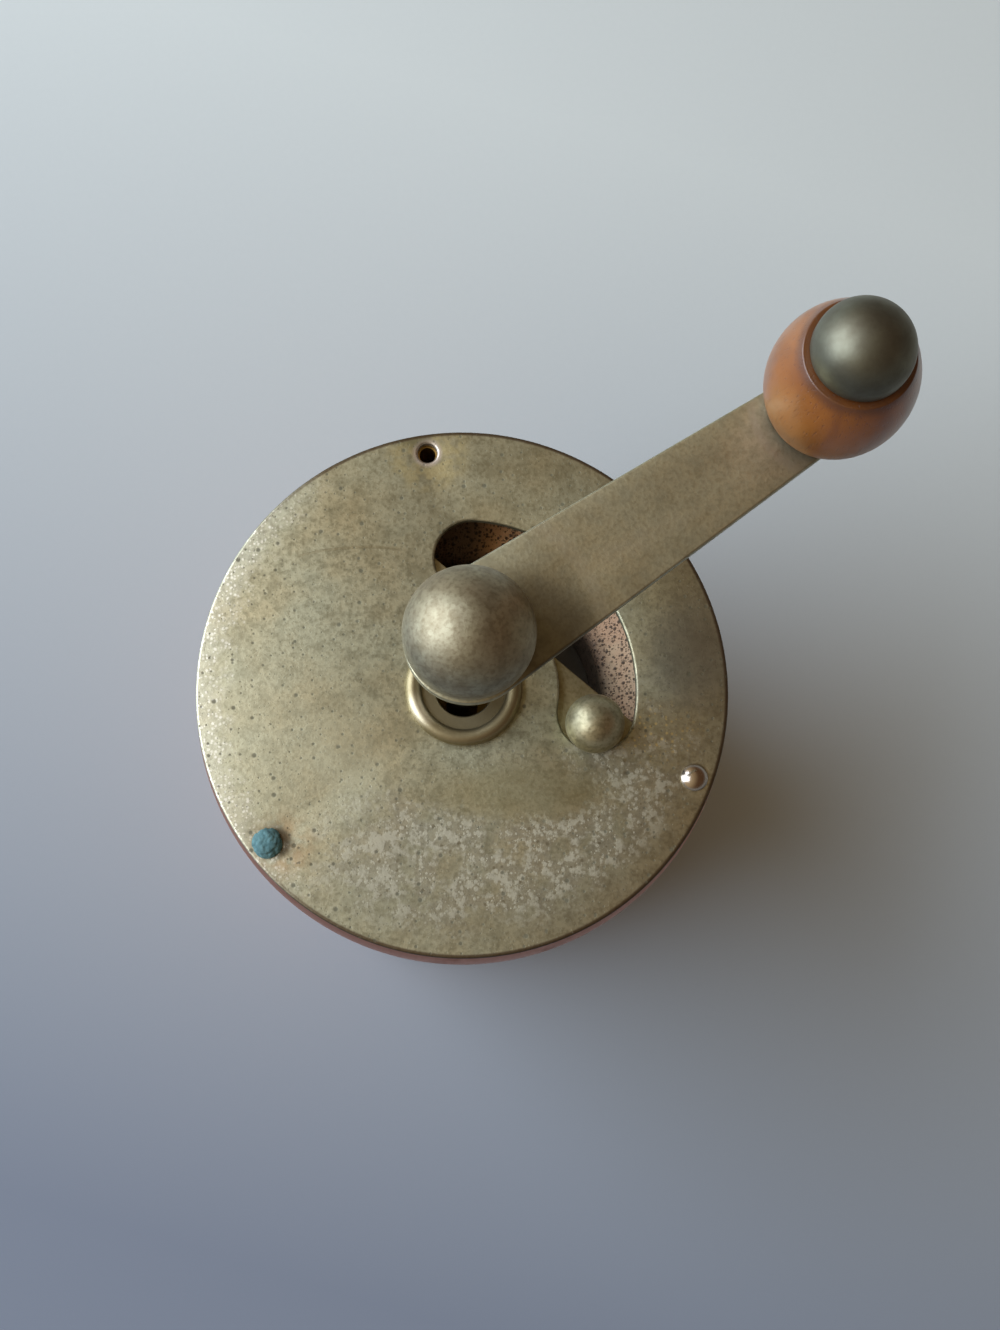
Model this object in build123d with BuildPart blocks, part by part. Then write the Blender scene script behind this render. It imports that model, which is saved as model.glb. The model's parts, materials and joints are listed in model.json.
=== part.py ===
"""Poppy seed mill: a copper hand mill with a lift-off receiver cup, a filler slot
closed by a turning shutter, a conical burr set and a long crank with a wooden knob.

Millimetres.  +Z is up, the shaft is the Z axis, and z = 0 is the table under the cup.
Angles are in degrees from +X.  The shutter stands open and the crank points to
crank_angle, which is the rest position of every joint.
"""

from build123d import *
from math import asin, cos, radians, sin, sqrt
import os

os.makedirs("parts", exist_ok=True)

# ---------------------------------------------------------------- driving sizes

# Outer body
body_radius = 41.0            # copper cylinder, outside
sheet = 0.8                   # copper sheet of the body and the cup
plate_top = 104.0             # upper face of the lid plate
plate_inset = 1.0             # its edge inside the cylinder's radius
plate_thickness = 1.5
plate_edge_round = 0.45
seam_height = 46.0            # where the mill body stands on the receiver cup
shoulder_drop = 8.0           # height over which the body draws in below the plate
shoulder_inset = 1.4          # how far it draws in
bead_height = 2.4             # rolled bead at the lower edge of the mill body
bead_proud = 0.7
foot_height = 3.0             # rolled foot of the receiver cup
foot_proud = 1.2

# Filler slot and shutter
slot_mid_radius = 20.2
slot_width = 11.6
slot_from_angle = -10.0       # centre of the slot's right-hand round end
slot_to_angle = 86.5          # centre of its other end
slot_edge_round = 0.35
shutter_lug_gap = 2.8         # shutter's edge inside the lugs of the plate screws
shutter_thickness = 0.8
shutter_chord = 12.75         # distance of the shutter's straight edge from the shaft
shutter_open_angle = 50.0     # direction that the straight edge faces when open
shutter_knob_angle = -16.4
shutter_ball_radius = 4.4
shutter_ball_height = 3.2     # ball centre above the plate
shutter_neck_radius = 2.1
shutter_rivet_radius = 1.2
shutter_rivet_head = 2.0

# Plate screws
screw_inset = 3.0             # their circle inside the plate's edge
empty_hole_angle = 98.9
screw_hole_radius = 1.5
screw_radius = 1.2
screw_length = 6.2
bright_head_radius = 2.05
bright_head_height = 1.2
corroded_head_radius = 2.3
corroded_head_height = 1.4
lug_radius = 3.2
lug_height = 6.0

# Centre collar
collar_bore_radius = 4.35
collar_sleeve_radius = 5.4
collar_roll_inner = 6.3
collar_roll_outer = 8.65
collar_roll_height = 1.8
collar_dish_height = 0.45
collar_peen_radius = 6.4
collar_peen_height = 0.6
washer_thickness = 0.5
shutter_washer_radius = 8.5

# Hopper funnel
funnel_sheet = 0.7
funnel_flange = 4.0           # its rim, turned down along the body's wall
funnel_fall = 6.0             # from the rim down to the throat
funnel_bend = 1.5             # round of its two bends
throat_margin = 1.8           # throat outside the fixed burr
carrier_drop = 32.0           # lower end of the throat below the plate's upper face

# Grinding set
carrier_thickness = 2.0
burr_wall = 3.0               # fixed burr outside its teeth's tips, at its lower end
burr_height = 16.0
burr_flange_width = 6.5
burr_flange_height = 3.0
ring_tooth_count = 36
ring_taper = 3.0              # how far the ring of teeth narrows to its top
ring_tooth_depth = 1.0
cone_tooth_count = 20
cone_top_radius = 8.5
cone_tooth_depth = 1.2
cone_under_bush = 1.2         # left between cone and bush with the cone fully lifted
burr_gap = 0.5                # between the tips at the lower end, at the coarse setting
burr_screw_offset = 3.3       # screws' centres outside the fixed burr's cylinder
burr_screw_radius = 1.0
burr_screw_head = 1.9
burr_screw_count = 3

# Shaft bearings
shaft_radius = 2.5
bridge_thickness = 3.0
bridge_ring_width = 2.6
bridge_hub_radius = 6.4
bridge_arm_width = 3.6
bridge_arm_count = 3
bridge_first_arm = 30.0
bush_radius = 4.0
bush_flange_radius = 5.6
bush_flange_height = 1.2
bush_drop = 1.5               # bush below the bridge

# Lower bridge and adjuster
strap_width = 11.0
strap_thickness = 2.0
strap_wall_gap = 2.1          # between its feet and the body's wall
strap_leg_gap = 2.5           # between its legs and the fixed burr's flange
strap_foot_length = 6.6
strap_drop = 20.0             # its cross bar's upper face below the carrier
strap_screw_radius = 1.2
strap_screw_head = 2.2
adjuster_radius = 3.0
adjuster_tip = 3.0            # thread above the cross bar
adjuster_cup_depth = 1.0
adjuster_head_radius = 9.0
adjuster_head_height = 5.0
adjuster_head_gap = 2.0       # free thread between the cross bar and the head
knurl_count = 36
knurl_radius = 0.45
adjuster_travel = 0.8         # lift of the burr cone for one turn
thrust_ball_radius = 2.0
burr_pin_radius = 1.2
burr_pin_height = 4.0         # above the cone's lower face

# Crank
crank_angle = 34.3
crank_radius = 55.7
arm_height = 38.7             # lower face of the arm above the plate
arm_thickness = 1.6
arm_hub_radius = 8.2
arm_end_radius = 5.4
arm_edge_round = 0.4
arm_washer_radius = 4.6
arm_washer_thickness = 0.8
shaft_square = 3.4
stud_radius = 1.65
stud_length = 8.0
ball_nut_radius = 8.3
ball_nut_height = 4.7         # ball centre above the arm

# Knob on its pin
knob_base_radius = 7.4
knob_belly_radius = 9.35
knob_belly_height = 9.2
knob_top_radius = 6.9
knob_height = 17.8
knob_base_round = 1.0
pin_radius = 2.2
pin_head_radius = 3.6
pin_head_height = 1.2
pin_stub_radius = 1.6
pin_stub_length = 4.2
dome_radius = 6.2
dome_skirt = 1.2

# Receiver cup
neck_sheet = 0.7
neck_above_seam = 12.0
neck_below_seam = 8.0
base_thickness = 0.8

# Fits
running_fit = 0.05            # radial, for shafts and pins that turn or slide
joint_gap = 0.05              # soldered, pressed and screwed pieces
lift_fit = 0.12               # receiver neck inside the mill body, radial
shutter_gap = 0.1             # shutter under the plate and over its washer
knob_gap = 0.3                # wooden knob between the arm and the dome

# ---------------------------------------------------------------- worked out

plate_under = plate_top - plate_thickness
body_inner = body_radius - sheet
shell_top_radius = body_radius - shoulder_inset
shoulder_start = plate_under - shoulder_drop
plate_radius = body_radius - plate_inset
screw_circle_radius = plate_radius - screw_inset
shutter_radius = screw_circle_radius - lug_radius - shutter_lug_gap

shutter_top = plate_under - shutter_gap
shutter_under = shutter_top - shutter_thickness
washer_top = shutter_under - shutter_gap
washer_under = washer_top - washer_thickness
collar_under = washer_under - collar_peen_height

screw_step = 360 / 3
bright_screw_angle = empty_hole_angle - screw_step
corroded_screw_angle = empty_hole_angle + screw_step

strap_foot_end = body_inner - strap_wall_gap
strap_leg_outer = strap_foot_end - strap_foot_length
strap_leg_inner = strap_leg_outer - strap_thickness
strap_screw_offset = strap_foot_end - strap_foot_length / 2

burr_flange_radius = strap_leg_inner - strap_leg_gap
burr_outer_radius = burr_flange_radius - burr_flange_width
burr_screw_circle = burr_outer_radius + burr_screw_offset
ring_bottom_radius = burr_outer_radius - burr_wall
ring_top_radius = ring_bottom_radius - ring_taper
cone_bottom_radius = ring_bottom_radius - burr_gap
throat_radius = burr_outer_radius + throat_margin

funnel_top = shoulder_start
throat_top = funnel_top - funnel_fall
carrier_top = plate_top - carrier_drop
carrier_under = carrier_top - carrier_thickness
burr_top = carrier_top
burr_under = burr_top - burr_height
cone_under = burr_under

bridge_top = burr_top + bridge_thickness
bush_top = bridge_top + bush_flange_height
bush_under = burr_top - bush_drop
cone_top = bush_under - cone_under_bush - adjuster_travel

strap_top = carrier_under - strap_drop
strap_under = strap_top - strap_thickness
adjuster_top = strap_top + adjuster_tip
adjuster_head_top = strap_under - adjuster_head_gap
ball_centre_z = adjuster_top - adjuster_cup_depth + thrust_ball_radius + joint_gap
shaft_under = ball_centre_z + thrust_ball_radius + joint_gap

arm_under = plate_top + arm_height
arm_top = arm_under + arm_thickness
washer_seat = arm_under - arm_washer_thickness
knob_under = arm_top + knob_gap
knob_top = knob_under + knob_height
dome_under = knob_top + knob_gap

crank_plane = Plane.XY.rotated((0, 0, crank_angle))
knob_x = crank_radius * cos(radians(crank_angle))
knob_y = crank_radius * sin(radians(crank_angle))

neck_outer = body_inner - lift_fit
neck_inner = neck_outer - neck_sheet


# ---------------------------------------------------------------- helpers

def at_angle(radius, angle):
    """A point on a circle around the shaft."""
    return (radius * cos(radians(angle)), radius * sin(radians(angle)))


def level(height):
    """A horizontal plane at a height above the table."""
    return Plane.XY.offset(height)


def crank_level(height):
    """A horizontal plane whose X runs along the crank arm."""
    return crank_plane.offset(height)


def upright(x, y):
    """A vertical plane through (x, y): its X is the radius, its Y the height."""
    return Plane(origin=(x, y, 0), x_dir=(1, 0, 0), z_dir=(0, -1, 0))


def ring(outer, inner):
    """A flat ring in the current sketch."""
    Circle(outer)
    Circle(inner, mode=Mode.SUBTRACT)


def star(tip_radius, root_radius, count):
    """The toothed outline of a burr: tips and roots in turn."""
    half_step = 180 / count
    points = []
    for tooth in range(count):
        points.append(at_angle(tip_radius, 2 * tooth * half_step))
        points.append(at_angle(root_radius, (2 * tooth + 1) * half_step))
    Polygon(*points, align=None)


def cap(radius, base, rise):
    """A round head's outline from its edge to its crown; a negative rise hangs down."""
    sphere = (radius ** 2 + rise ** 2) / (2 * rise)
    half_turn = asin(radius / abs(sphere)) / 2
    middle = (abs(sphere) * sin(half_turn), base + rise - sphere + sphere * cos(half_turn))
    return ThreePointArc((radius, base), middle, (0, base + rise))


def inner_shoulder(offset_in):
    """The body's outline from the cylinder up to the plate, moved inwards."""
    low = (body_radius - offset_in, shoulder_start)
    high = (shell_top_radius - offset_in, plate_under)
    return TangentArc(low, high, tangent=(0, 1))


# ---------------------------------------------------------------- receiver cup

with BuildPart() as receiver_wall:
    with BuildSketch(Plane.XZ):
        with BuildLine():
            ThreePointArc(
                (body_radius, 0),
                (body_radius + foot_proud, foot_height / 2),
                (body_radius, foot_height),
            )
            Polyline(
                (body_radius, foot_height),
                (body_radius, seam_height),
                (body_inner, seam_height),
                (body_inner, 0),
                (body_radius, 0),
            )
        make_face()
    revolve(axis=Axis.Z)
receiver_wall.part.label = "receiver_wall"
export_step(receiver_wall.part, "parts/receiver_wall.step")

with BuildPart() as receiver_base:
    with BuildSketch(level(0)):
        Circle(body_inner - joint_gap)
    extrude(amount=base_thickness)
receiver_base.part.label = "receiver_base"
export_step(receiver_base.part, "parts/receiver_base.step")

with BuildPart() as receiver_neck:
    with BuildSketch(level(seam_height - neck_below_seam)):
        ring(neck_outer, neck_inner)
    extrude(amount=neck_below_seam + neck_above_seam)
receiver_neck.part.label = "receiver_neck"
export_step(receiver_neck.part, "parts/receiver_neck.step")

# ---------------------------------------------------------------- mill body

with BuildPart() as body_shell:
    with BuildSketch(Plane.XZ):
        with BuildLine():
            outer_arc = inner_shoulder(0)
            inner_arc = inner_shoulder(sheet)
            Line(outer_arc @ 1, inner_arc @ 1)
            Polyline(inner_arc @ 0, (body_inner, seam_height), (body_radius, seam_height))
            ThreePointArc(
                (body_radius, seam_height),
                (body_radius + bead_proud, seam_height + bead_height / 2),
                (body_radius, seam_height + bead_height),
            )
            Line((body_radius, seam_height + bead_height), outer_arc @ 0)
        make_face()
    revolve(axis=Axis.Z)
body_shell.part.label = "body_shell"
export_step(body_shell.part, "parts/body_shell.step")

with BuildPart() as screw_lugs:
    with BuildSketch(level(plate_under - lug_height)):
        with PolarLocations(screw_circle_radius, 3, empty_hole_angle):
            Circle(lug_radius)
            Circle(screw_radius + joint_gap, mode=Mode.SUBTRACT)
    extrude(amount=lug_height)
    with BuildSketch(Plane.XZ):
        with BuildLine():
            lug_arc = inner_shoulder(sheet + joint_gap)
            Polyline(lug_arc @ 0, (0, shoulder_start), (0, plate_under), lug_arc @ 1)
        make_face()
    revolve(axis=Axis.Z, mode=Mode.INTERSECT)
screw_lugs.part.label = "screw_lugs"
export_step(screw_lugs.part, "parts/screw_lugs.step")

with BuildPart() as hopper_funnel:
    rim_radius = body_inner - joint_gap
    with BuildSketch(Plane.XZ):
        with BuildLine():
            FilletPolyline(
                (rim_radius, funnel_top - funnel_flange),
                (rim_radius, funnel_top),
                (throat_radius, throat_top),
                (throat_radius, carrier_top),
                radius=funnel_bend,
            )
            offset(amount=funnel_sheet, side=Side.LEFT)
        make_face()
    revolve(axis=Axis.Z)
hopper_funnel.part.label = "hopper_funnel"
export_step(hopper_funnel.part, "parts/hopper_funnel.step")

# ---------------------------------------------------------------- lid plate

with BuildPart() as top_plate:
    with BuildSketch(level(plate_under)):
        Circle(plate_radius)
    extrude(amount=plate_thickness)
    fillet(top_plate.edges().group_by(Axis.Z)[-1], plate_edge_round)
    with BuildSketch(level(plate_under)):
        SlotArc(
            CenterArc((0, 0), slot_mid_radius, slot_from_angle, slot_to_angle - slot_from_angle),
            slot_width,
        )
    extrude(amount=plate_thickness, mode=Mode.SUBTRACT)
    slot_rim = top_plate.faces().sort_by(Axis.Z)[-1].inner_wires()[0].edges()
    fillet(slot_rim, slot_edge_round)
    with BuildSketch(level(plate_under)):
        with PolarLocations(screw_circle_radius, 3, empty_hole_angle):
            Circle(screw_hole_radius)
        Circle(collar_sleeve_radius + joint_gap)
    extrude(amount=plate_thickness, mode=Mode.SUBTRACT)
top_plate.part.label = "top_plate"
export_step(top_plate.part, "parts/top_plate.step")


# The two screws that are left; the third hole is empty.
for label, angle, head_radius, head_height in (
    ("plate_screw_bright", bright_screw_angle, bright_head_radius, bright_head_height),
    ("plate_screw_corroded", corroded_screw_angle, corroded_head_radius, corroded_head_height),
):
    screw_x, screw_y = at_angle(screw_circle_radius, angle)
    with BuildPart() as plate_screw:
        with BuildSketch(upright(screw_x, screw_y)):
            with BuildLine():
                cap(head_radius, plate_top, head_height)
                Polyline(
                    (0, plate_top + head_height),
                    (0, plate_top - screw_length),
                    (screw_radius, plate_top - screw_length),
                    (screw_radius, plate_top),
                    (head_radius, plate_top),
                )
            make_face()
        revolve(axis=Axis((screw_x, screw_y, 0), (0, 0, 1)))
    plate_screw.part.label = label
    export_step(plate_screw.part, f"parts/{label}.step")

with BuildPart() as centre_collar:
    with BuildSketch(Plane.XZ):
        with BuildLine():
            roll_foot = (collar_roll_inner, plate_top + collar_dish_height)
            roll_side = (collar_roll_outer, plate_top)
            ThreePointArc(
                roll_foot,
                ((collar_roll_inner + collar_roll_outer) / 2, plate_top + collar_roll_height),
                roll_side,
            )
            Polyline(
                roll_side,
                (collar_sleeve_radius, plate_top),
                (collar_sleeve_radius, washer_under),
                (collar_peen_radius, washer_under),
                (collar_peen_radius, collar_under),
                (collar_bore_radius, collar_under),
                (collar_bore_radius, plate_top + collar_dish_height),
                roll_foot,
            )
        make_face()
    revolve(axis=Axis.Z)
centre_collar.part.label = "centre_collar"
export_step(centre_collar.part, "parts/centre_collar.step")

with BuildPart() as shutter_washer:
    with BuildSketch(level(washer_under)):
        ring(shutter_washer_radius, collar_sleeve_radius + joint_gap)
    extrude(amount=washer_thickness)
shutter_washer.part.label = "shutter_washer"
export_step(shutter_washer.part, "parts/shutter_washer.step")

# ---------------------------------------------------------------- shutter

shutter_knob_x, shutter_knob_y = at_angle(slot_mid_radius, shutter_knob_angle)

with BuildPart() as shutter_disc:
    with BuildSketch(level(shutter_under)):
        Circle(shutter_radius)
        chord_depth = shutter_radius - shutter_chord
        chord_middle = at_angle(shutter_chord + chord_depth / 2, shutter_open_angle)
        with Locations(chord_middle):
            Rectangle(
                chord_depth,
                2 * shutter_radius,
                rotation=shutter_open_angle,
                mode=Mode.SUBTRACT,
            )
        Circle(collar_sleeve_radius + running_fit, mode=Mode.SUBTRACT)
        with Locations((shutter_knob_x, shutter_knob_y)):
            Circle(shutter_rivet_radius + joint_gap, mode=Mode.SUBTRACT)
    extrude(amount=shutter_thickness)
shutter_disc.part.label = "shutter_disc"
export_step(shutter_disc.part, "parts/shutter_disc.step")

with BuildPart() as shutter_knob:
    ball_middle = plate_top + shutter_ball_height
    neck_meets_ball = ball_middle - sqrt(shutter_ball_radius ** 2 - shutter_neck_radius ** 2)
    rivet_under = shutter_under - shutter_rivet_radius / 2
    with BuildSketch(upright(shutter_knob_x, shutter_knob_y)):
        with BuildLine():
            ThreePointArc(
                (0, ball_middle + shutter_ball_radius),
                (shutter_ball_radius, ball_middle),
                (shutter_neck_radius, neck_meets_ball),
            )
            Polyline(
                (shutter_neck_radius, neck_meets_ball),
                (shutter_neck_radius, shutter_top),
                (shutter_rivet_radius, shutter_top),
                (shutter_rivet_radius, shutter_under),
                (shutter_rivet_head, shutter_under),
                (shutter_rivet_head, rivet_under),
                (0, rivet_under),
                (0, ball_middle + shutter_ball_radius),
            )
        make_face()
    revolve(axis=Axis((shutter_knob_x, shutter_knob_y, 0), (0, 0, 1)))
shutter_knob.part.label = "shutter_knob"
export_step(shutter_knob.part, "parts/shutter_knob.step")

# ---------------------------------------------------------------- grinding set

with BuildPart() as burr_carrier:
    with BuildSketch(level(carrier_under)):
        ring(body_inner - joint_gap, burr_outer_radius + joint_gap)
        with PolarLocations(burr_screw_circle, burr_screw_count):
            Circle(burr_screw_radius + joint_gap, mode=Mode.SUBTRACT)
        with Locations((strap_screw_offset, 0), (-strap_screw_offset, 0)):
            Circle(strap_screw_radius + joint_gap, mode=Mode.SUBTRACT)
    extrude(amount=carrier_thickness)
burr_carrier.part.label = "burr_carrier"
export_step(burr_carrier.part, "parts/burr_carrier.step")

with BuildPart() as outer_burr:
    with BuildSketch(level(burr_under)):
        Circle(burr_outer_radius)
    extrude(amount=burr_height)
    with BuildSketch(level(carrier_under - burr_flange_height)):
        Circle(burr_flange_radius)
        with PolarLocations(burr_screw_circle, burr_screw_count):
            Circle(burr_screw_radius + joint_gap, mode=Mode.SUBTRACT)
    extrude(amount=burr_flange_height)
    with BuildSketch(level(burr_under)):
        star(ring_bottom_radius + ring_tooth_depth, ring_bottom_radius, ring_tooth_count)
    with BuildSketch(level(burr_top)):
        star(ring_top_radius + ring_tooth_depth, ring_top_radius, ring_tooth_count)
    loft(ruled=True, mode=Mode.SUBTRACT)
outer_burr.part.label = "outer_burr"
export_step(outer_burr.part, "parts/outer_burr.step")

with BuildPart() as burr_screws:
    screw_from = carrier_under - burr_flange_height
    with BuildSketch(level(screw_from)):
        with PolarLocations(burr_screw_circle, burr_screw_count):
            Circle(burr_screw_radius)
    extrude(amount=burr_flange_height + carrier_thickness)
    with BuildSketch(level(screw_from)):
        with PolarLocations(burr_screw_circle, burr_screw_count):
            Circle(burr_screw_head)
    extrude(amount=-burr_screw_radius)
burr_screws.part.label = "burr_screws"
export_step(burr_screws.part, "parts/burr_screws.step")

with BuildPart() as upper_bridge:
    bridge_radius = throat_radius - joint_gap
    with BuildSketch(level(burr_top)):
        ring(bridge_radius, bridge_radius - bridge_ring_width)
        with PolarLocations(bridge_radius / 2, bridge_arm_count, bridge_first_arm):
            Rectangle(bridge_radius - bridge_ring_width / 2, bridge_arm_width)
        Circle(bridge_hub_radius)
        Circle(bush_radius + joint_gap, mode=Mode.SUBTRACT)
    extrude(amount=bridge_thickness)
upper_bridge.part.label = "upper_bridge"
export_step(upper_bridge.part, "parts/upper_bridge.step")

with BuildPart() as bridge_bush:
    with BuildSketch(level(bush_under)):
        Circle(bush_radius)
    extrude(amount=bush_top - bush_under)
    with BuildSketch(level(bridge_top)):
        Circle(bush_flange_radius)
    extrude(amount=bush_flange_height)
    with BuildSketch(level(bush_under)):
        Circle(shaft_radius + running_fit)
    extrude(amount=bush_top - bush_under, mode=Mode.SUBTRACT)
bridge_bush.part.label = "bridge_bush"
export_step(bridge_bush.part, "parts/bridge_bush.step")

# ---------------------------------------------------------------- lower bridge, adjuster

with BuildPart() as lower_bridge:
    with BuildSketch(Plane.XZ):
        with BuildLine():
            Polyline(
                (0, strap_top),
                (strap_leg_inner, strap_top),
                (strap_leg_inner, carrier_under),
                (strap_foot_end, carrier_under),
                (strap_foot_end, carrier_under - strap_thickness),
                (strap_leg_outer, carrier_under - strap_thickness),
                (strap_leg_outer, strap_under),
                (0, strap_under),
                close=True,
            )
        make_face()
        mirror(about=Plane.YZ)
    extrude(amount=strap_width / 2, both=True)
    with BuildSketch(level(strap_under)):
        Circle(adjuster_radius + running_fit)
        with Locations((strap_screw_offset, 0), (-strap_screw_offset, 0)):
            Circle(strap_screw_radius + joint_gap)
    extrude(amount=carrier_under - strap_under, mode=Mode.SUBTRACT)
lower_bridge.part.label = "lower_bridge"
export_step(lower_bridge.part, "parts/lower_bridge.step")

with BuildPart() as bridge_screws:
    with BuildSketch(level(carrier_under - strap_thickness)):
        with Locations((strap_screw_offset, 0), (-strap_screw_offset, 0)):
            Circle(strap_screw_radius)
    extrude(amount=strap_thickness + carrier_thickness)
    with BuildSketch(level(carrier_under - strap_thickness)):
        with Locations((strap_screw_offset, 0), (-strap_screw_offset, 0)):
            Circle(strap_screw_head)
    extrude(amount=-strap_screw_radius)
bridge_screws.part.label = "bridge_screws"
export_step(bridge_screws.part, "parts/bridge_screws.step")

with BuildPart() as adjuster_screw:
    adjuster_head_under = adjuster_head_top - adjuster_head_height
    with BuildSketch(level(adjuster_head_under)):
        Circle(adjuster_head_radius)
        with PolarLocations(adjuster_head_radius, knurl_count):
            Circle(knurl_radius, mode=Mode.SUBTRACT)
    extrude(amount=adjuster_head_height)
    with BuildSketch(level(adjuster_head_top)):
        Circle(adjuster_radius)
    extrude(amount=adjuster_top - adjuster_head_top)
    with BuildSketch(level(adjuster_top - adjuster_cup_depth)):
        Circle(thrust_ball_radius + joint_gap)
    extrude(amount=adjuster_cup_depth, mode=Mode.SUBTRACT)
adjuster_screw.part.label = "adjuster_screw"
export_step(adjuster_screw.part, "parts/adjuster_screw.step")

with BuildPart() as thrust_ball:
    with Locations((0, 0, ball_centre_z)):
        Sphere(thrust_ball_radius)
thrust_ball.part.label = "thrust_ball"
export_step(thrust_ball.part, "parts/thrust_ball.step")

# ---------------------------------------------------------------- crank

with BuildPart() as shaft:
    with BuildSketch(level(shaft_under)):
        Circle(shaft_radius)
    extrude(amount=washer_seat - shaft_under)
    with BuildSketch(crank_level(washer_seat)):
        Rectangle(shaft_square, shaft_square)
    extrude(amount=arm_top - washer_seat)
    with BuildSketch(level(arm_top)):
        Circle(stud_radius)
    extrude(amount=stud_length)
    with BuildSketch(Plane.XZ):
        with Locations((0, cone_under + burr_pin_height)):
            Circle(burr_pin_radius + joint_gap)
    extrude(amount=shaft_radius, both=True, mode=Mode.SUBTRACT)
shaft.part.label = "shaft"
export_step(shaft.part, "parts/shaft.step")

with BuildPart() as inner_burr:
    with BuildSketch(level(cone_under)):
        star(cone_bottom_radius, cone_bottom_radius - cone_tooth_depth, cone_tooth_count)
    with BuildSketch(level(cone_top)):
        star(cone_top_radius, cone_top_radius - cone_tooth_depth, cone_tooth_count)
    loft(ruled=True)
    with BuildSketch(level(cone_under)):
        Circle(shaft_radius + joint_gap)
    extrude(amount=cone_top - cone_under, mode=Mode.SUBTRACT)
    with BuildSketch(Plane.XZ):
        with Locations((0, cone_under + burr_pin_height)):
            Circle(burr_pin_radius + joint_gap)
    extrude(amount=cone_bottom_radius, both=True, mode=Mode.SUBTRACT)
inner_burr.part.label = "inner_burr"
export_step(inner_burr.part, "parts/inner_burr.step")

with BuildPart() as burr_pin:
    with BuildSketch(Plane.XZ):
        with Locations((0, cone_under + burr_pin_height)):
            Circle(burr_pin_radius)
    extrude(amount=cone_top_radius, both=True)
burr_pin.part.label = "burr_pin"
export_step(burr_pin.part, "parts/burr_pin.step")

with BuildPart() as arm_washer:
    with BuildSketch(crank_level(washer_seat)):
        Circle(arm_washer_radius)
        Rectangle(
            shaft_square + 2 * joint_gap,
            shaft_square + 2 * joint_gap,
            mode=Mode.SUBTRACT,
        )
    extrude(amount=arm_washer_thickness)
arm_washer.part.label = "arm_washer"
export_step(arm_washer.part, "parts/arm_washer.step")

with BuildPart() as crank_arm:
    with BuildSketch(crank_level(arm_under)):
        with Locations((0, 0)):
            Circle(arm_hub_radius)
        with Locations((crank_radius, 0)):
            Circle(arm_end_radius)
        make_hull()
        Rectangle(
            shaft_square + 2 * joint_gap,
            shaft_square + 2 * joint_gap,
            mode=Mode.SUBTRACT,
        )
        with Locations((crank_radius, 0)):
            Circle(pin_radius + joint_gap, mode=Mode.SUBTRACT)
    extrude(amount=arm_thickness)
    arm_rims = crank_arm.faces().sort_by(Axis.Z)
    fillet(
        arm_rims[0].outer_wire().edges() + arm_rims[-1].outer_wire().edges(),
        arm_edge_round,
    )
crank_arm.part.label = "crank_arm"
export_step(crank_arm.part, "parts/crank_arm.step")

with BuildPart() as ball_nut:
    ball_nut_centre = arm_top + ball_nut_height
    nut_foot_radius = sqrt(ball_nut_radius ** 2 - ball_nut_height ** 2)
    with BuildSketch(Plane.XZ):
        with BuildLine():
            ThreePointArc(
                (nut_foot_radius, arm_top),
                (ball_nut_radius, ball_nut_centre),
                (0, ball_nut_centre + ball_nut_radius),
            )
            Polyline(
                (0, ball_nut_centre + ball_nut_radius),
                (0, arm_top + stud_length + joint_gap),
                (stud_radius + joint_gap, arm_top + stud_length + joint_gap),
                (stud_radius + joint_gap, arm_top),
                (nut_foot_radius, arm_top),
            )
        make_face()
    revolve(axis=Axis.Z)
ball_nut.part.label = "ball_nut"
export_step(ball_nut.part, "parts/ball_nut.step")

# ---------------------------------------------------------------- knob

knob_axis = Axis((knob_x, knob_y, 0), (0, 0, 1))

with BuildPart() as knob_pin:
    with BuildSketch(upright(knob_x, knob_y)):
        with BuildLine():
            cap(pin_head_radius, arm_under, -pin_head_height)
            Polyline(
                (pin_head_radius, arm_under),
                (pin_radius, arm_under),
                (pin_radius, dome_under),
                (pin_stub_radius, dome_under),
                (pin_stub_radius, dome_under + pin_stub_length),
                (0, dome_under + pin_stub_length),
                (0, arm_under - pin_head_height),
            )
        make_face()
    revolve(axis=knob_axis)
knob_pin.part.label = "knob_pin"
export_step(knob_pin.part, "parts/knob_pin.step")

with BuildPart() as knob_dome:
    dome_spring = dome_under + dome_skirt
    with BuildSketch(upright(knob_x, knob_y)):
        with BuildLine():
            cap(dome_radius, dome_spring, dome_radius)
            Polyline(
                (0, dome_spring + dome_radius),
                (0, dome_under + pin_stub_length + joint_gap),
                (pin_stub_radius + joint_gap, dome_under + pin_stub_length + joint_gap),
                (pin_stub_radius + joint_gap, dome_under),
                (dome_radius, dome_under),
                (dome_radius, dome_spring),
            )
        make_face()
    revolve(axis=knob_axis)
knob_dome.part.label = "knob_dome"
export_step(knob_dome.part, "parts/knob_dome.step")

with BuildPart() as wood_knob:
    with BuildSketch(upright(knob_x, knob_y)):
        with BuildLine():
            knob_side = ThreePointArc(
                (knob_base_radius, knob_under),
                (knob_belly_radius, knob_under + knob_belly_height),
                (knob_top_radius, knob_top),
            )
            Polyline(
                knob_side @ 1,
                (pin_radius + running_fit, knob_top),
                (pin_radius + running_fit, knob_under),
                knob_side @ 0,
            )
        make_face()
    revolve(axis=knob_axis)
    knob_foot = wood_knob.faces().sort_by(Axis.Z)[0].outer_wire().edges()
    fillet(knob_foot, knob_base_round)
wood_knob.part.label = "wood_knob"
export_step(wood_knob.part, "parts/wood_knob.step")
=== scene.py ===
# %% [markdown]
# # A poppy seed mill, dressed in Blender
# The mill is a copper cylinder with a tarnished nickel lid.  A long flat crank turns a burr cone
# inside it, and a shutter under the lid opens and closes the slot that the seed goes in by.
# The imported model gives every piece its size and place.  This script gives the pieces that show
# their fine shape and their finish, and it never moves anything.

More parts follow.
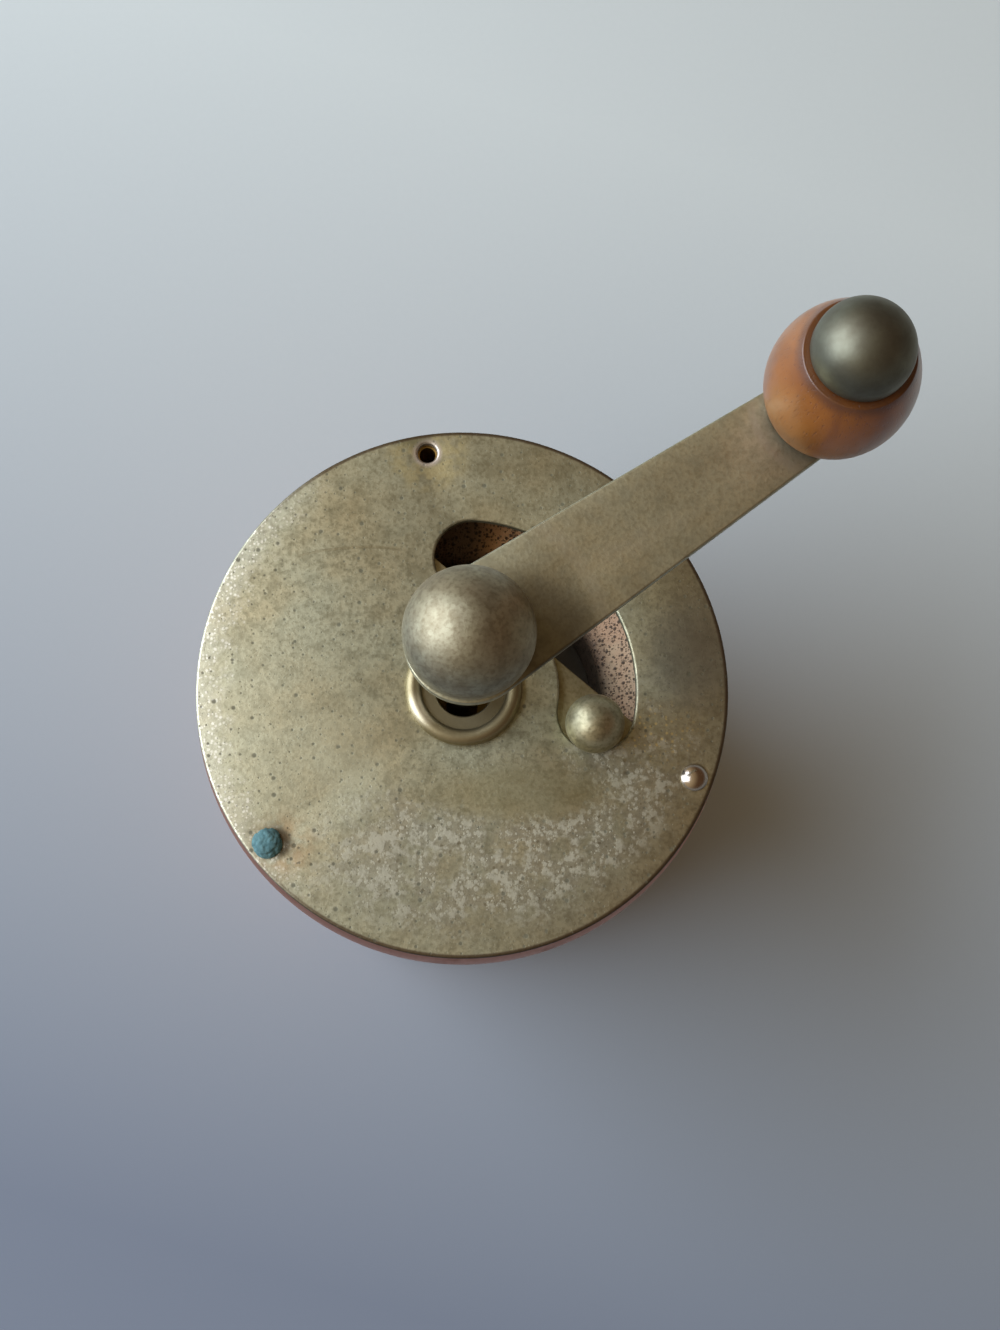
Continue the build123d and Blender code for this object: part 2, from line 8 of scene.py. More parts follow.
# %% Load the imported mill
import json
from math import acos, asin, atan2, cos, hypot, pi, radians, sin, sqrt

import bmesh
import bpy
from mathutils import Matrix, Vector, noise


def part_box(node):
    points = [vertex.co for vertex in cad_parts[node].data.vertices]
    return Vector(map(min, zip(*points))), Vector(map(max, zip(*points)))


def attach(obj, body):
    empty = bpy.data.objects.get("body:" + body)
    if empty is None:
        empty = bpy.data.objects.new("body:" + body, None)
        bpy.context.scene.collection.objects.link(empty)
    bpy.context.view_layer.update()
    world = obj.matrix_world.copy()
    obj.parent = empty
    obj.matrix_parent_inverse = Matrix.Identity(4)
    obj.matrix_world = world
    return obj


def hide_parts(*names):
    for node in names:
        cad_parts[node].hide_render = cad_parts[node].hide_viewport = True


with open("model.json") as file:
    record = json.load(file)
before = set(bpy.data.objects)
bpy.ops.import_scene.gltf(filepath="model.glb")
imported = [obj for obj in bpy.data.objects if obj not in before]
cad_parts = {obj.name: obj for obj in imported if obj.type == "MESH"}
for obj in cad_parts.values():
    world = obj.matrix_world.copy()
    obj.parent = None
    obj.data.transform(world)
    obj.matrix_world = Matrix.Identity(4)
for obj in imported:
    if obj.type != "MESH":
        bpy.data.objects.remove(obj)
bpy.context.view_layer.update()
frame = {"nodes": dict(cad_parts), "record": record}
print("pieces in the packed mill:", len(frame["nodes"]))

# %% [markdown]
# ## Measures
# The script thinks in millimetres, as a metalworker would, and turns them into Blender's metres
# only where a point is made.  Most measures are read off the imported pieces, so the fine pieces
# fit the same neighbours.  The rest are the small sizes that a piece's box can't tell.  A face
# counts as level when the upright part of its normal is more than `LEVEL`.

# %% Read the sizes off the pieces
MM = 0.001
LEVEL = 0.999


def span(node):
    """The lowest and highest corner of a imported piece, in mm."""
    low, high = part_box(node)
    return low / MM, high / MM


def middle(node):
    """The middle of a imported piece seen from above, in mm."""
    low, high = span(node)
    return ((low.x + high.x) / 2, (low.y + high.y) / 2)


plate_top = span("top_plate")[1].z
plate_under = span("top_plate")[0].z
plate_radius = span("top_plate")[1].x
bead_proud = 0.7
body_radius = span("body_shell")[1].x - bead_proud
seam_height = span("body_shell")[0].z
knob_axis = middle("wood_knob")
crank_radius = hypot(*knob_axis)
crank_angle = atan2(knob_axis[1], knob_axis[0])
arm_under = span("crank_arm")[0].z
arm_top = span("crank_arm")[1].z
print(f"plate radius {plate_radius:.1f} mm, height {plate_top:.1f} mm, crank {crank_radius:.1f} mm")

# %% [markdown]
# ## Shader maths as ordinary sums
# A finish is a net of nodes, and wiring it by hand hides the idea.  `Value` wraps one output
# socket, so `1 - worn * 0.4` adds the two Math nodes it needs.  Colours and vectors don't go
# through Math nodes, which would turn them grey, but through `mix` and `vector`.

# %% Values and node nets


class Value:
    """One output socket, so that sums on it read like sums on numbers."""

    def __init__(self, net, socket):
        self.net = net
        self.socket = socket

    def maths(self, operation, *values):
        return self.net.node("ShaderNodeMath", {"operation": operation}, dict(enumerate(values)))

    def __add__(self, other):
        return self.maths("ADD", self, other)

    def __radd__(self, other):
        return self.maths("ADD", other, self)

    def __sub__(self, other):
        return self.maths("SUBTRACT", self, other)

    def __rsub__(self, other):
        return self.maths("SUBTRACT", other, self)

    def __mul__(self, other):
        return self.maths("MULTIPLY", self, other)

    def __rmul__(self, other):
        return self.maths("MULTIPLY", other, self)

    def __truediv__(self, other):
        return self.maths("DIVIDE", self, other)

    def __abs__(self):
        return self.maths("ABSOLUTE", self)


class Net:
    """A net of shader nodes."""

    def __init__(self, tree):
        self.tree = tree
        tree.nodes.clear()

    def node(self, kind, settings=None, inputs=None, output=0):
        """Adds a node: its settings first, then the values or links of its sockets."""
        made = self.tree.nodes.new(kind)
        for name, setting in (settings or {}).items():
            setattr(made, name, setting)
        for name, value in (inputs or {}).items():
            if isinstance(value, Value):
                self.tree.links.new(value.socket, made.inputs[name])
            else:
                made.inputs[name].default_value = value
        return Value(self, made.outputs[output])

    def vector(self, operation, *vectors, output=0):
        """A sum on vectors; output 1 gives the plain number of a length or a distance."""
        settings = {"operation": operation}
        return self.node("ShaderNodeVectorMath", settings, dict(enumerate(vectors)), output)

    def mix(self, amount, first, second):
        """One colour turning into another as the amount goes from 0 to 1."""
        settings = {"data_type": "RGBA"}
        return self.node("ShaderNodeMix", settings, {0: amount, 6: first, 7: second}, 2)

    def most(self, first, second):
        """The larger of two numbers."""
        return self.node("ShaderNodeMath", {"operation": "MAXIMUM"}, {0: first, 1: second})

    def rise(self, value, low, high):
        """0 below the low value, 1 above the high one, and a soft step between them."""
        settings = {"interpolation_type": "SMOOTHSTEP"}
        return self.node("ShaderNodeMapRange", settings, {0: value, 1: low, 2: high})

    def fall(self, value, low, high):
        """1 below the low value, 0 above the high one, and a soft step between them."""
        settings = {"interpolation_type": "SMOOTHSTEP"}
        return self.node("ShaderNodeMapRange", settings, {0: value, 1: low, 2: high, 3: 1, 4: 0})

    def axes(self, vector):
        """The three numbers of a vector."""
        parts = self.node("ShaderNodeSeparateXYZ", None, {0: vector})
        return [Value(self, out) for out in parts.socket.node.outputs]


def paint(red, green, blue):
    """A colour as a screen shows it, 0 to 255, turned into the light that Blender mixes."""
    parts = []
    for level in (red, green, blue):
        share = level / 255
        parts.append(share / 12.92 if share <= 0.04045 else ((share + 0.055) / 1.055) ** 2.4)
    return (*parts, 1)


print("nickel, as light:", [round(part, 3) for part in paint(190, 184, 160)])

# %% [markdown]
# ## A finish
# Every finish starts from the place of a point on its piece, in mm, so a pit is equally wide on
# every piece that has pits.  `clouds` is smooth noise, `cells` scatters points, `specks` puts a
# round speck on some of them, and `spot` is one round place, such as the stain by a screw.
# `stain` then lays a colour over the tint wherever such a mask is above 0.

# %% The finish class


class Finish(Net):
    """A material in the making, with its shader and the place of each point in mm."""

    def __init__(self, name, around=(0, 0)):
        self.material = bpy.data.materials.new(name)
        self.material.use_nodes = True
        super().__init__(self.material.node_tree)
        own = self.node("ShaderNodeTexCoord", output="Object")
        in_mm = self.vector("MULTIPLY", own, (1 / MM,) * 3)
        self.place = self.vector("SUBTRACT", in_mm, (*around, 0))
        self.x, self.y, self.z = self.axes(self.place)
        self.radius = self.vector("LENGTH", self.vector("MULTIPLY", self.place, (1, 1, 0)), output=1)
        self.shader = self.tree.nodes.new("ShaderNodeBsdfPrincipled")
        output = self.tree.nodes.new("ShaderNodeOutputMaterial")
        self.tree.links.new(self.shader.outputs[0], output.inputs[0])

    def clouds(self, size, detail=3, stretch=(1, 1, 1), shift=0, contrast=1):
        """Smooth noise from about 0 to 1, its lumps `size` mm wide."""
        place = self.vector("ADD", self.place, (shift, shift * 1.7, shift * 0.6))
        place = self.vector("MULTIPLY", place, stretch)
        lumps = self.node("ShaderNodeTexNoise", None,
                          {"Vector": place, "Scale": 1 / size, "Detail": detail})
        return (lumps - 0.5) * contrast + 0.5

    def cells(self, size, shift=0, flat=False):
        """Scattered points: how far the nearest lies, in mm, and its own number 0 to 1."""
        place = self.vector("ADD", self.place, (shift, shift * 0.7, shift * 1.3))
        settings = {"voronoi_dimensions": "2D" if flat else "3D"}
        near = self.node("ShaderNodeTexVoronoi", settings, {"Vector": place, "Scale": 1 / size})
        own = self.axes(Value(self, near.socket.node.outputs["Color"]))[0]
        return near * size, own

    def specks(self, size, widest, share, shift=0, flat=False):
        """Round specks up to `widest` mm in radius at a share of the scattered points."""
        distance, own = self.cells(size, shift, flat)
        reach = self.rise(own, 1 - share, 1.3) * widest + 0.001
        return self.fall(distance / reach, 0.4, 1)

    def spot(self, centre, inner, outer, squash=(1, 1)):
        """A round or oval place: 1 inside the inner radius, 0 past the outer one."""
        away = self.vector("SUBTRACT", self.place, (*centre, 0))
        away = self.vector("MULTIPLY", away, (*squash, 0))
        return self.fall(self.vector("LENGTH", away, output=1), inner, outer)

    def stain(self, amount, colour):
        """Lays a colour over the tint, by an amount from 0 to 1."""
        self.tint = self.mix(amount, self.tint, colour)

    def set(self, **sockets):
        """Sets or links the shader's sockets, with _ for the spaces in their names."""
        for name, value in sockets.items():
            socket = self.shader.inputs[name.replace("_", " ")]
            if isinstance(value, Value):
                self.tree.links.new(value.socket, socket)
            else:
                socket.default_value = value

    def relief(self, height):
        """Raises the surface by a height in mm."""
        sizes = {"Strength": 1.0, "Distance": MM, "Height": height}
        bump = self.node("ShaderNodeBump", None, sizes)
        self.set(Normal=bump)


print("finishes are made by", Finish.__name__)

# %% [markdown]
# ## Turned and cut pieces
# Two ways of working make nearly every piece of the mill.  A turned piece is an outline spun
# round an axis, as on a lathe.  A cut piece is a flat outline with holes, given a thickness
# and rounded edges, as a blank that is cut from sheet and filed.

# %% Outlines


def polar(radius, angle, centre=(0, 0)):
    """The point at a distance and an angle from a centre."""
    return (centre[0] + radius * cos(angle), centre[1] + radius * sin(angle))


def arc(start, through, end, steps=16):
    """Points on the circle through three points, from start to end, both included."""
    (ax, ay), (bx, by), (cx, cy) = start, through, end
    spread = 2 * (ax * (by - cy) + bx * (cy - ay) + cx * (ay - by))
    a2, b2, c2 = ax * ax + ay * ay, bx * bx + by * by, cx * cx + cy * cy
    mx = (a2 * (by - cy) + b2 * (cy - ay) + c2 * (ay - by)) / spread
    my = (a2 * (cx - bx) + b2 * (ax - cx) + c2 * (bx - ax)) / spread
    first, between, last = (atan2(y - my, x - mx) for x, y in (start, through, end))
    turn = (last - first) % (2 * pi)
    if (between - first) % (2 * pi) > turn:
        turn -= 2 * pi
    size = hypot(ax - mx, ay - my)
    return [polar(size, first + turn * step / steps, (mx, my)) for step in range(steps + 1)]


def corner(point, before, after, size, steps=6):
    """A rounded corner of an outline, tangent to the lines to the points before and after."""
    here, one, two = Vector(point), Vector(before), Vector(after)
    to_one, to_two = (one - here).normalized(), (two - here).normalized()
    half = to_one.angle(to_two) / 2
    reach = size / (sin(half) / cos(half))
    centre = here + (to_one + to_two).normalized() * size / sin(half)
    deepest = centre + (here - centre).normalized() * size
    return arc(here + to_one * reach, deepest, here + to_two * reach, steps)


def circle(centre, size, steps=128):
    """A full circle as points."""
    return [polar(size, 2 * pi * step / steps, centre) for step in range(steps)]


print("a rounded corner has", len(corner((1, 0), (0, 0), (1, 1), 0.2)), "points")

# %% Turning and cutting
sharp_edge = radians(35)
on_axis = 1e-6
weld = 0.001


def shown(name, mesh, body, stands_for, finish):
    """Puts a finished mesh in the scene, on its body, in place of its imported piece."""
    mesh.set_sharp_from_angle(angle=sharp_edge)
    piece = bpy.data.objects.new(name, mesh)
    bpy.context.scene.collection.objects.link(piece)
    mesh.materials.clear()
    mesh.materials.append(finish.material)
    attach(piece, body)
    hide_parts(stands_for)
    print(f"{name}: {len(mesh.polygons)} faces")


def turned(name, outline, axis=(0, 0), turns=192):
    """A mesh spun from a closed outline of (radius, height) points."""
    build = bmesh.new()
    rings = []
    for radius, height in outline:
        if radius < on_axis:
            pole = build.verts.new(Vector((axis[0], axis[1], height)) * MM)
            rings.append([pole] * turns)
            continue
        ring = []
        for x, y in circle(axis, radius, turns):
            ring.append(build.verts.new(Vector((x, y, height)) * MM))
        rings.append(ring)
    for ring, following in zip(rings, rings[1:] + rings[:1]):
        for step in range(turns):
            after = (step + 1) % turns
            corners = dict.fromkeys((ring[step], ring[after], following[after], following[step]))
            if len(corners) > 2:
                build.faces.new(list(corners))
    bmesh.ops.recalc_face_normals(build, faces=build.faces)
    mesh = bpy.data.meshes.new(name)
    build.to_mesh(mesh)
    build.free()
    mesh.shade_smooth()
    return mesh


def cut(name, outlines, low, high, rounding):
    """A mesh cut from sheet: the first outline is its edge, and the others are its holes."""
    curve = bpy.data.curves.new(name, "CURVE")
    curve.dimensions = "2D"
    curve.fill_mode = "BOTH"
    curve.bevel_depth = rounding * MM
    curve.bevel_resolution = 4
    curve.offset = -rounding * MM
    curve.extrude = ((high - low) / 2 - rounding) * MM
    for outline in outlines:
        spline = curve.splines.new("POLY")
        spline.points.add(len(outline) - 1)
        for point, (x, y) in zip(spline.points, outline):
            point.co = (x * MM, y * MM, 0, 1)
        spline.use_cyclic_u = True
    blank = bpy.data.objects.new(name, curve)
    bpy.context.scene.collection.objects.link(blank)
    ready = blank.evaluated_get(bpy.context.evaluated_depsgraph_get())
    mesh = bpy.data.meshes.new_from_object(ready)
    mesh.transform(Matrix.Translation((0, 0, (low + high) / 2 * MM)))
    bpy.data.objects.remove(blank)
    bpy.data.curves.remove(curve)
    build = bmesh.new()
    build.from_mesh(mesh)
    bmesh.ops.remove_doubles(build, verts=build.verts, dist=weld * MM)
    bmesh.ops.recalc_face_normals(build, faces=build.faces)
    flat = {face for face in build.faces if abs(face.normal.z) > LEVEL}
    within = [edge for edge in build.edges if flat.issuperset(edge.link_faces)]
    bmesh.ops.beautify_fill(build, faces=list(flat), edges=within)
    for face in build.faces:
        face.smooth = abs(face.normal.z) < LEVEL
    build.to_mesh(mesh)
    build.free()
    return mesh


print("pieces are turned or cut")

# %% [markdown]
# ## The camera
# The photograph looks down on the lid from about a hand's span above the crank.  The camera's
# place and lean were worked out from the round lid, the screws, the ball nut and the knob, so
# the near knob looms large over the small lid, exactly as it does there.

# %% Camera
photo_height = 1330
focal_pixels = 1600
film_height = 36
eye = Vector((-3.47, -36.49, plate_top + 237.49)) * MM
to_right = Vector((0.9993, 0.0, 0.0375))
backwards = Vector((-0.0370, -0.1661, 0.9854))

camera_data = bpy.data.cameras.new("camera")
camera_data.sensor_fit = "VERTICAL"
camera_data.sensor_height = film_height
camera_data.lens = film_height * focal_pixels / photo_height
camera_data.clip_start = 0.01
camera = bpy.data.objects.new("camera", camera_data)
bpy.context.scene.collection.objects.link(camera)
back = backwards.normalized()
right = (to_right - back * to_right.dot(back)).normalized()
up = back.cross(right)
turn = Matrix((right, up, back)).transposed()
camera.matrix_world = Matrix.Translation(eye) @ turn.to_4x4()
bpy.context.scene.camera = camera
print(f"camera {eye.z / MM:.0f} mm above the table, lens {camera_data.lens:.1f} mm")

# %% [markdown]
# ## Daylight and table
# The light is one big window, high on the left.  It is an area lamp, because its size makes the
# shadow soft.  The room is the world: a warm ceiling that is dim on the right, and pale walls
# low down all round.  Its colour changes with direction, because satin metal shows whatever
# stands around it.

# %% Window, room and table
window_data = bpy.data.lights.new("window", "AREA")
window_data.shape = "RECTANGLE"
window_data.size = 2.9
window_data.size_y = 2.8
window_data.energy = 110.0
window_data.color = (0.88, 1.0, 1.17)
window = bpy.data.objects.new("window", window_data)
bpy.context.scene.collection.objects.link(window)
window_azimuth = radians(171)
window_height = radians(33)
window_away = 2.6
window.location = Vector((cos(window_azimuth) * cos(window_height),
                          sin(window_azimuth) * cos(window_height),
                          sin(window_height))) * window_away
window.rotation_euler = (-window.location).to_track_quat("-Z", "Y").to_euler()

world = bpy.data.worlds.new("room")
bpy.context.scene.world = world
world.use_nodes = True
room = Net(world.node_tree)
direction = room.node("ShaderNodeTexCoord", output="Generated")
east, _, zenith = room.axes(direction)
ceiling = room.rise(zenith * 0.5 - east, -0.1, 0.95)
dim_corner, warm_ceiling = (0.11, 0.06, 0.03, 1), (0.54, 0.42, 0.25, 1)
pale_walls = (0.28, 0.295, 0.295, 1)
glow = room.mix(ceiling, dim_corner, warm_ceiling)
glow = room.mix(room.fall(zenith, 0.10, 0.28), glow, pale_walls)
background = room.node("ShaderNodeBackground", None, {"Color": glow, "Strength": 1.0})
sky = room.tree.nodes.new("ShaderNodeOutputWorld")
room.tree.links.new(background.socket, sky.inputs[0])

table = Finish("table_paper")
near_edge, paper_depth = 115, 270
# The paper is painted lighter towards the far side and a little to the right, and darker towards the
# near edge: painted light falling off from the window.
far = (table.y + table.x * 0.3 + near_edge) / paper_depth
table.tint = table.mix(far, (0.20, 0.235, 0.30, 1), (0.64, 0.70, 0.70, 1))
fibres = table.clouds(1.4, detail=4)
table.stain(fibres * 0.04, paint(120, 130, 140))
table.set(Base_Color=table.tint, Roughness=0.85, Specular_IOR_Level=0.2)
floor_radius, floor_thick = 1500, 2
floor_outline = [(0, 0), (floor_radius, 0), (floor_radius, -floor_thick), (0, -floor_thick)]
floor_mesh = turned("floor", floor_outline, turns=96)
floor = bpy.data.objects.new("floor", floor_mesh)
bpy.context.scene.collection.objects.link(floor)
floor_mesh.materials.append(table.material)
bpy.context.scene.view_settings.view_transform = "Standard"
print("window", tuple(round(v, 2) for v in window.location), "m")

# %% [markdown]
# ## The lid plate
# The lid is nickel over brass that has been wiped for years: a warm grey with a green cast,
# dark pin pricks where the nickel has gone, a crust of pale grains towards the lower right, a
# bright worn edge on the left, and stains around the screws.  Painted light and shade lie over
# these: paler on the left, and darker under the crank, along the right edge and rim, and beside
# the corroded screw.  Each of these is a mask made from the place on the lid, so each can be
# moved or weakened alone.

# %% Where things lie on the lid
screw_circle = hypot(*middle("plate_screw_bright"))
corroded_place = middle("plate_screw_corroded")
empty_place = polar(screw_circle, radians(98.9))
screw_hole = 1.5
slot_middle = 20.2
slot_half = 5.8
slot_from, slot_to = radians(-10), radians(86.5)
collar_sleeve = 5.45
print(f"screws on a circle of {screw_circle:.1f} mm")

# %% Nickel


def nickel(name, tone=1.0, shift=0, pitting=1.0, flat=False):
    """The nickel of the lid and the crank: satin, clouded from green to brown, with dark pits."""
    made = Finish(name)
    cool, warm, dull = (
        tuple(part * tone for part in paint(*colour)[:3]) + (1,)
        for colour in ((192, 193, 168), (192, 182, 148), (110, 104, 78))
    )
    broad = made.clouds(13, 2, shift=shift, contrast=1.4)
    mottle = made.clouds(1.5, 4, shift=shift + 9, contrast=1.8)
    grain = made.clouds(0.55, 4, shift=shift + 4, contrast=2.2)
    blotches = made.clouds(3.4, 4, shift=shift + 21, contrast=2.4)
    made.tint = made.mix(made.rise(broad, 0.25, 0.8), cool, warm)
    for marks, low, high, share in (
        (blotches, 0.45, 0.95, 0.32), (mottle, 0.30, 0.95, 0.45), (grain, 0.35, 0.9, 0.42),
    ):
        made.stain(made.rise(marks, low, high) * share, dull)
    large = made.specks(3.1, 0.62, 0.7, shift, flat)
    medium = made.specks(1.5, 0.38, 0.7, shift + 3, flat)
    fine = made.specks(0.7, 0.22, 0.7, shift + 17, flat)
    made.pits = made.most(large, made.most(medium * 0.9, fine * 0.5)) * pitting
    made.rough = 0.42 + mottle * 0.10
    made.rise_of_grain = grain * 0.012
    return made


print("nickel is shared by the lid and the crank")

# %% The lid's finish
lid = nickel("lid_nickel", flat=True)
seed_brown = paint(120, 102, 66)
# This pale serves the lid's crust, and painted light on the arm too.
pale_of_crust_and_sheen = paint(186, 181, 160)
painted_light_pale = paint(216, 212, 182)
straw = paint(196, 182, 132)

# A pale crust of scale and grains fills an arc of the lid towards the bottom right.
towards = radians(-68)
across = (lid.x * cos(towards) + lid.y * sin(towards)) / (lid.radius + 0.01)
crust_arc = lid.rise(across, 0.15, 0.70)
crust_arc = crust_arc * lid.rise(lid.radius, 15, 22) * lid.fall(lid.radius, 32, 39.5)
wiped = lid.spot((9, -15.5), 3.0, 8.5, squash=(0.48, 1.45))
crust_arc = crust_arc * (1 - wiped)
clumps = lid.rise(lid.clouds(3.2, 5, shift=37, contrast=2.4) + crust_arc * 0.25, 0.42, 0.80)
lace = lid.rise(lid.clouds(1.1, 4, shift=31, contrast=2.4), 0.44, 0.80)
grains = lid.specks(1.0, 0.62, 0.8, 47, flat=True)
fine_grains = lid.specks(0.7, 0.36, 0.5, 53, flat=True)
crust = lid.most(lid.most(lace * 0.75, grains * 0.75), fine_grains * 0.8) * clumps * crust_arc
lid.stain(crust_arc * 0.25, paint(140, 138, 122))
lid.stain(clumps * crust_arc * 0.35, paint(172, 168, 154))
dark_gaps = lid.specks(1.3, 0.55, 0.7, 59, flat=True) * (1 - lace)
lid.stain(dark_gaps * clumps * crust_arc * 0.55, paint(108, 98, 74))
lid.stain(crust * 0.88, pale_of_crust_and_sheen)

# The left half is painted paler, as painted light where the window light falls on it, and the
# lid is painted darker towards the edge nearest to the eye.
lit_left = lid.spot((-31, -8), 4, 27)
lid.stain(lit_left * 0.30, painted_light_pale)
lid.stain(lid.spot((-17, -10), 2, 10) * 0.30, painted_light_pale)
darker_near_edge = lid.fall(lid.y + lid.x * 0.1, -36, -22)
lid.stain(darker_near_edge * 0.22, paint(132, 126, 104))

# Smooth olive where the lid was wiped, brown at the top, golden grains beside the slot's end.
lid.stain(wiped * 0.5, paint(152, 143, 106))
top_brown = lid.rise(lid.y + lid.x * 0.35, 6, 36)
lid.stain(top_brown * 0.32, paint(136, 122, 86))
beside_slot = lid.spot((29, -6.5), 2, 8.5, squash=(0.85, 1.25))
gold_grains = lid.specks(0.8, 0.42, 0.8, 83, flat=True)
lid.stain(beside_slot * 0.3, paint(146, 122, 78))
lid.stain(gold_grains * beside_slot * 0.8, paint(206, 186, 132))

# Painted shade: darker below the parked crank as its shadow, and darker and browner along the edge
# on the right.
crank_shadow = lid.spot((34, 5.5), 3, 11, squash=(1.1, 0.9)) * lid.rise(lid.radius, 25.5, 27.5)
lid.stain(crank_shadow * 0.7, paint(96, 92, 80))
shaded_right_edge = lid.rise(lid.radius, 29, 39) * lid.rise(lid.x - lid.y * 0.2, 10, 30)
lid.stain(shaded_right_edge * 0.32, paint(118, 96, 68))

# The stain by the corroded screw with a dark crescent beside it painted as the screw's shadow, and
# the worn ring round the empty hole.
rust = lid.spot((corroded_place[0] + 2.2, corroded_place[1] - 0.4), 1.6, 6.5)
rust = rust * lid.rise(lid.clouds(2.2, 3, shift=14, contrast=1.8), 0.15, 0.7)
lid.stain(rust * 0.55, paint(176, 138, 92))
grime_and_shade = lid.spot((corroded_place[0] + 1.3, corroded_place[1] + 0.1), 1.6, 3.0)
lid.stain(grime_and_shade * 0.85, paint(58, 46, 32))
hole_ring = lid.spot(empty_place, 1.7, 2.6)
hole_halo = lid.spot(empty_place, 4.2, 7.5) * lid.rise(lid.clouds(1.8, 3, shift=22), 0.35, 0.6)
lid.stain(hole_halo * 0.5, straw)
lid.stain(hole_ring * 0.8, paint(206, 194, 184))
smudge = lid.spot((empty_place[0] - 2.4, empty_place[1] + 2.6), 0.8, 3.2, squash=(0.7, 1.2))
lid.stain(smudge * 0.6, paint(92, 92, 68))

# The worn edge on the left, the rim's rounded edge painted dark brown as shade on the rest of the
# lid, and one scratch.
wobble = lid.clouds(1.6, 4, shift=12, contrast=2.6)
edge = lid.rise(lid.radius + wobble * 4.0, 36.6, 40.6)
edge_grains = lid.specks(0.55, 0.42, 0.9, 29, flat=True)
worn_side = lid.rise(lid.x * -1 - abs(lid.y) * 0.35, 6, 28)
lid.stain(edge * worn_side * (0.20 + edge_grains * 0.7), paint(238, 234, 218))
shaded_rim = lid.rise(lid.radius, 39.25, 39.6)
lid.stain(shaded_rim * (1 - worn_side) * 0.85, paint(84, 66, 48))
scratch_centre, scratch_radius = (-14, -20, plate_top), 41.6
from_centre = lid.vector("SUBTRACT", lid.place, scratch_centre)
scratch = abs(lid.vector("LENGTH", from_centre, output=1) - scratch_radius)
scratch = lid.fall(scratch, 0.08, 0.28)
scratch = scratch * lid.rise(lid.x, -27, -22) * lid.fall(lid.x, -11, -7)
lid.stain(scratch * 0.3, seed_brown)
pits = lid.pits * (1 - wiped * 0.8)
lid.stain(pits * 0.7, paint(80, 76, 54))

# Pits, crust and the crank's painted shadow make the lid less metallic and rougher.
dirt_and_shade = lid.most(lid.most(pits, crust * 0.9), crank_shadow * 0.3)
lid.set(
    Base_Color=lid.tint,
    Metallic=0.90 - dirt_and_shade * 0.6,
    Roughness=lid.rough + dirt_and_shade * 0.25,
)
lid.relief(lid.rise_of_grain + crust * 0.02 - pits * 0.015 - scratch * 0.03)
print("lid nodes:", len(lid.tree.nodes))

# %% The lid's shape


def slot_side(radius, first, last, steps):
    """One long side of the slot, from one angle to the other."""
    between = (first + last) / 2
    return arc(polar(radius, first), polar(radius, between), polar(radius, last), steps)


def slot_end(angle, turn):
    """The round end of the slot at an angle, from its outer side to its inner one."""
    centre = polar(slot_middle, angle)
    return [polar(slot_half, angle + turn * pi * step / 24, centre) for step in range(1, 24)]


slot_outline = [
    *slot_side(slot_middle + slot_half, slot_from, slot_to, 64),
    *slot_end(slot_to, 1),
    *slot_side(slot_middle - slot_half, slot_to, slot_from, 48),
    *reversed(slot_end(slot_from, -1)),
]
screw_places = [empty_place, middle("plate_screw_bright"), corroded_place]
holes = [circle(place, screw_hole, 48) for place in screw_places]
lid_mesh = cut(
    "lid_plate",
    [circle((0, 0), plate_radius, 256), slot_outline, circle((0, 0), collar_sleeve, 96), *holes],
    plate_under, plate_top, 0.4,
)
shown("lid_plate", lid_mesh, "mill", "top_plate", lid)

# %% [markdown]
# ## The screws
# One screw is still bright, and shows the window as a hard spot.  One is eaten by verdigris, the
# blue-green crust that damp copper alloys grow, so its head is a lump.  The third is lost.

# %% The bright screw
polished = Finish("bright_screw")
smears = polished.clouds(1.2, 3)
polished.set(
    Base_Color=polished.mix(smears * 0.5, paint(206, 196, 184), paint(140, 124, 108)),
    Metallic=1.0,
    Roughness=0.17 + smears * 0.12,
)
low, high = span("plate_screw_bright")
head = (high.x - low.x) / 2
rise_of_head = high.z - plate_top
shank, brim = 1.2, 0.22
outline = [
    *arc((0, high.z), (head * 0.55, high.z - rise_of_head * 0.20), (head, plate_top + brim), 20),
    (head - 0.06, plate_top + 0.01),
    (shank, plate_top), (shank, low.z), (0, low.z),
]
screw_mesh = turned("bright_screw", outline, middle("plate_screw_bright"), 96)
shown("bright_screw", screw_mesh, "mill", "plate_screw_bright", polished)

# %% The corroded screw
verdigris = Finish("verdigris", corroded_place)
scale = verdigris.clouds(0.9, 4, contrast=1.8)
deep = verdigris.rise(verdigris.clouds(1.6, 3, shift=6, contrast=1.6), 0.5, 0.85)
verdigris.tint = verdigris.mix(scale, paint(58, 96, 102), paint(110, 150, 154))
verdigris.stain(deep * 0.7, paint(40, 64, 68))
verdigris.set(Base_Color=verdigris.tint, Metallic=0.0, Roughness=0.85 + scale * 0.1)
verdigris.relief(scale * 0.05 + verdigris.clouds(0.3, 2) * 0.02)
low, high = span("plate_screw_corroded")
head = (high.x - low.x) / 2
rise_of_head = high.z - plate_top
outline = [
    *arc((0, high.z), (head * 0.72, plate_top + rise_of_head * 0.74),
         (head, plate_top + 0.02), 28),
    (shank, plate_top), (shank, low.z), (0, low.z),
]
screw_mesh = turned("corroded_screw", outline, corroded_place, 96)
for vertex in screw_mesh.vertices:
    place = vertex.co / MM
    away = place - Vector((*corroded_place, plate_top))
    if away.z > -0.5 and hypot(away.x, away.y) > 0:
        lump = noise.noise(place * 0.9) + 0.5 * noise.noise(place * 2.3)
        inward = min(0.0, lump - 0.25) * 0.12
        vertex.co += away * inward * MM
shown("corroded_screw", screw_mesh, "mill", "plate_screw_corroded", verdigris)

# %% [markdown]
# ## The centre collar
# The collar is a short brass tube, turned over on the lid into a roll and peened under it.  Its
# nickel is worn to a yellow grey on the roll, and its bore lets the shaft through with room to
# spare, because the shaft runs in a bush further down.

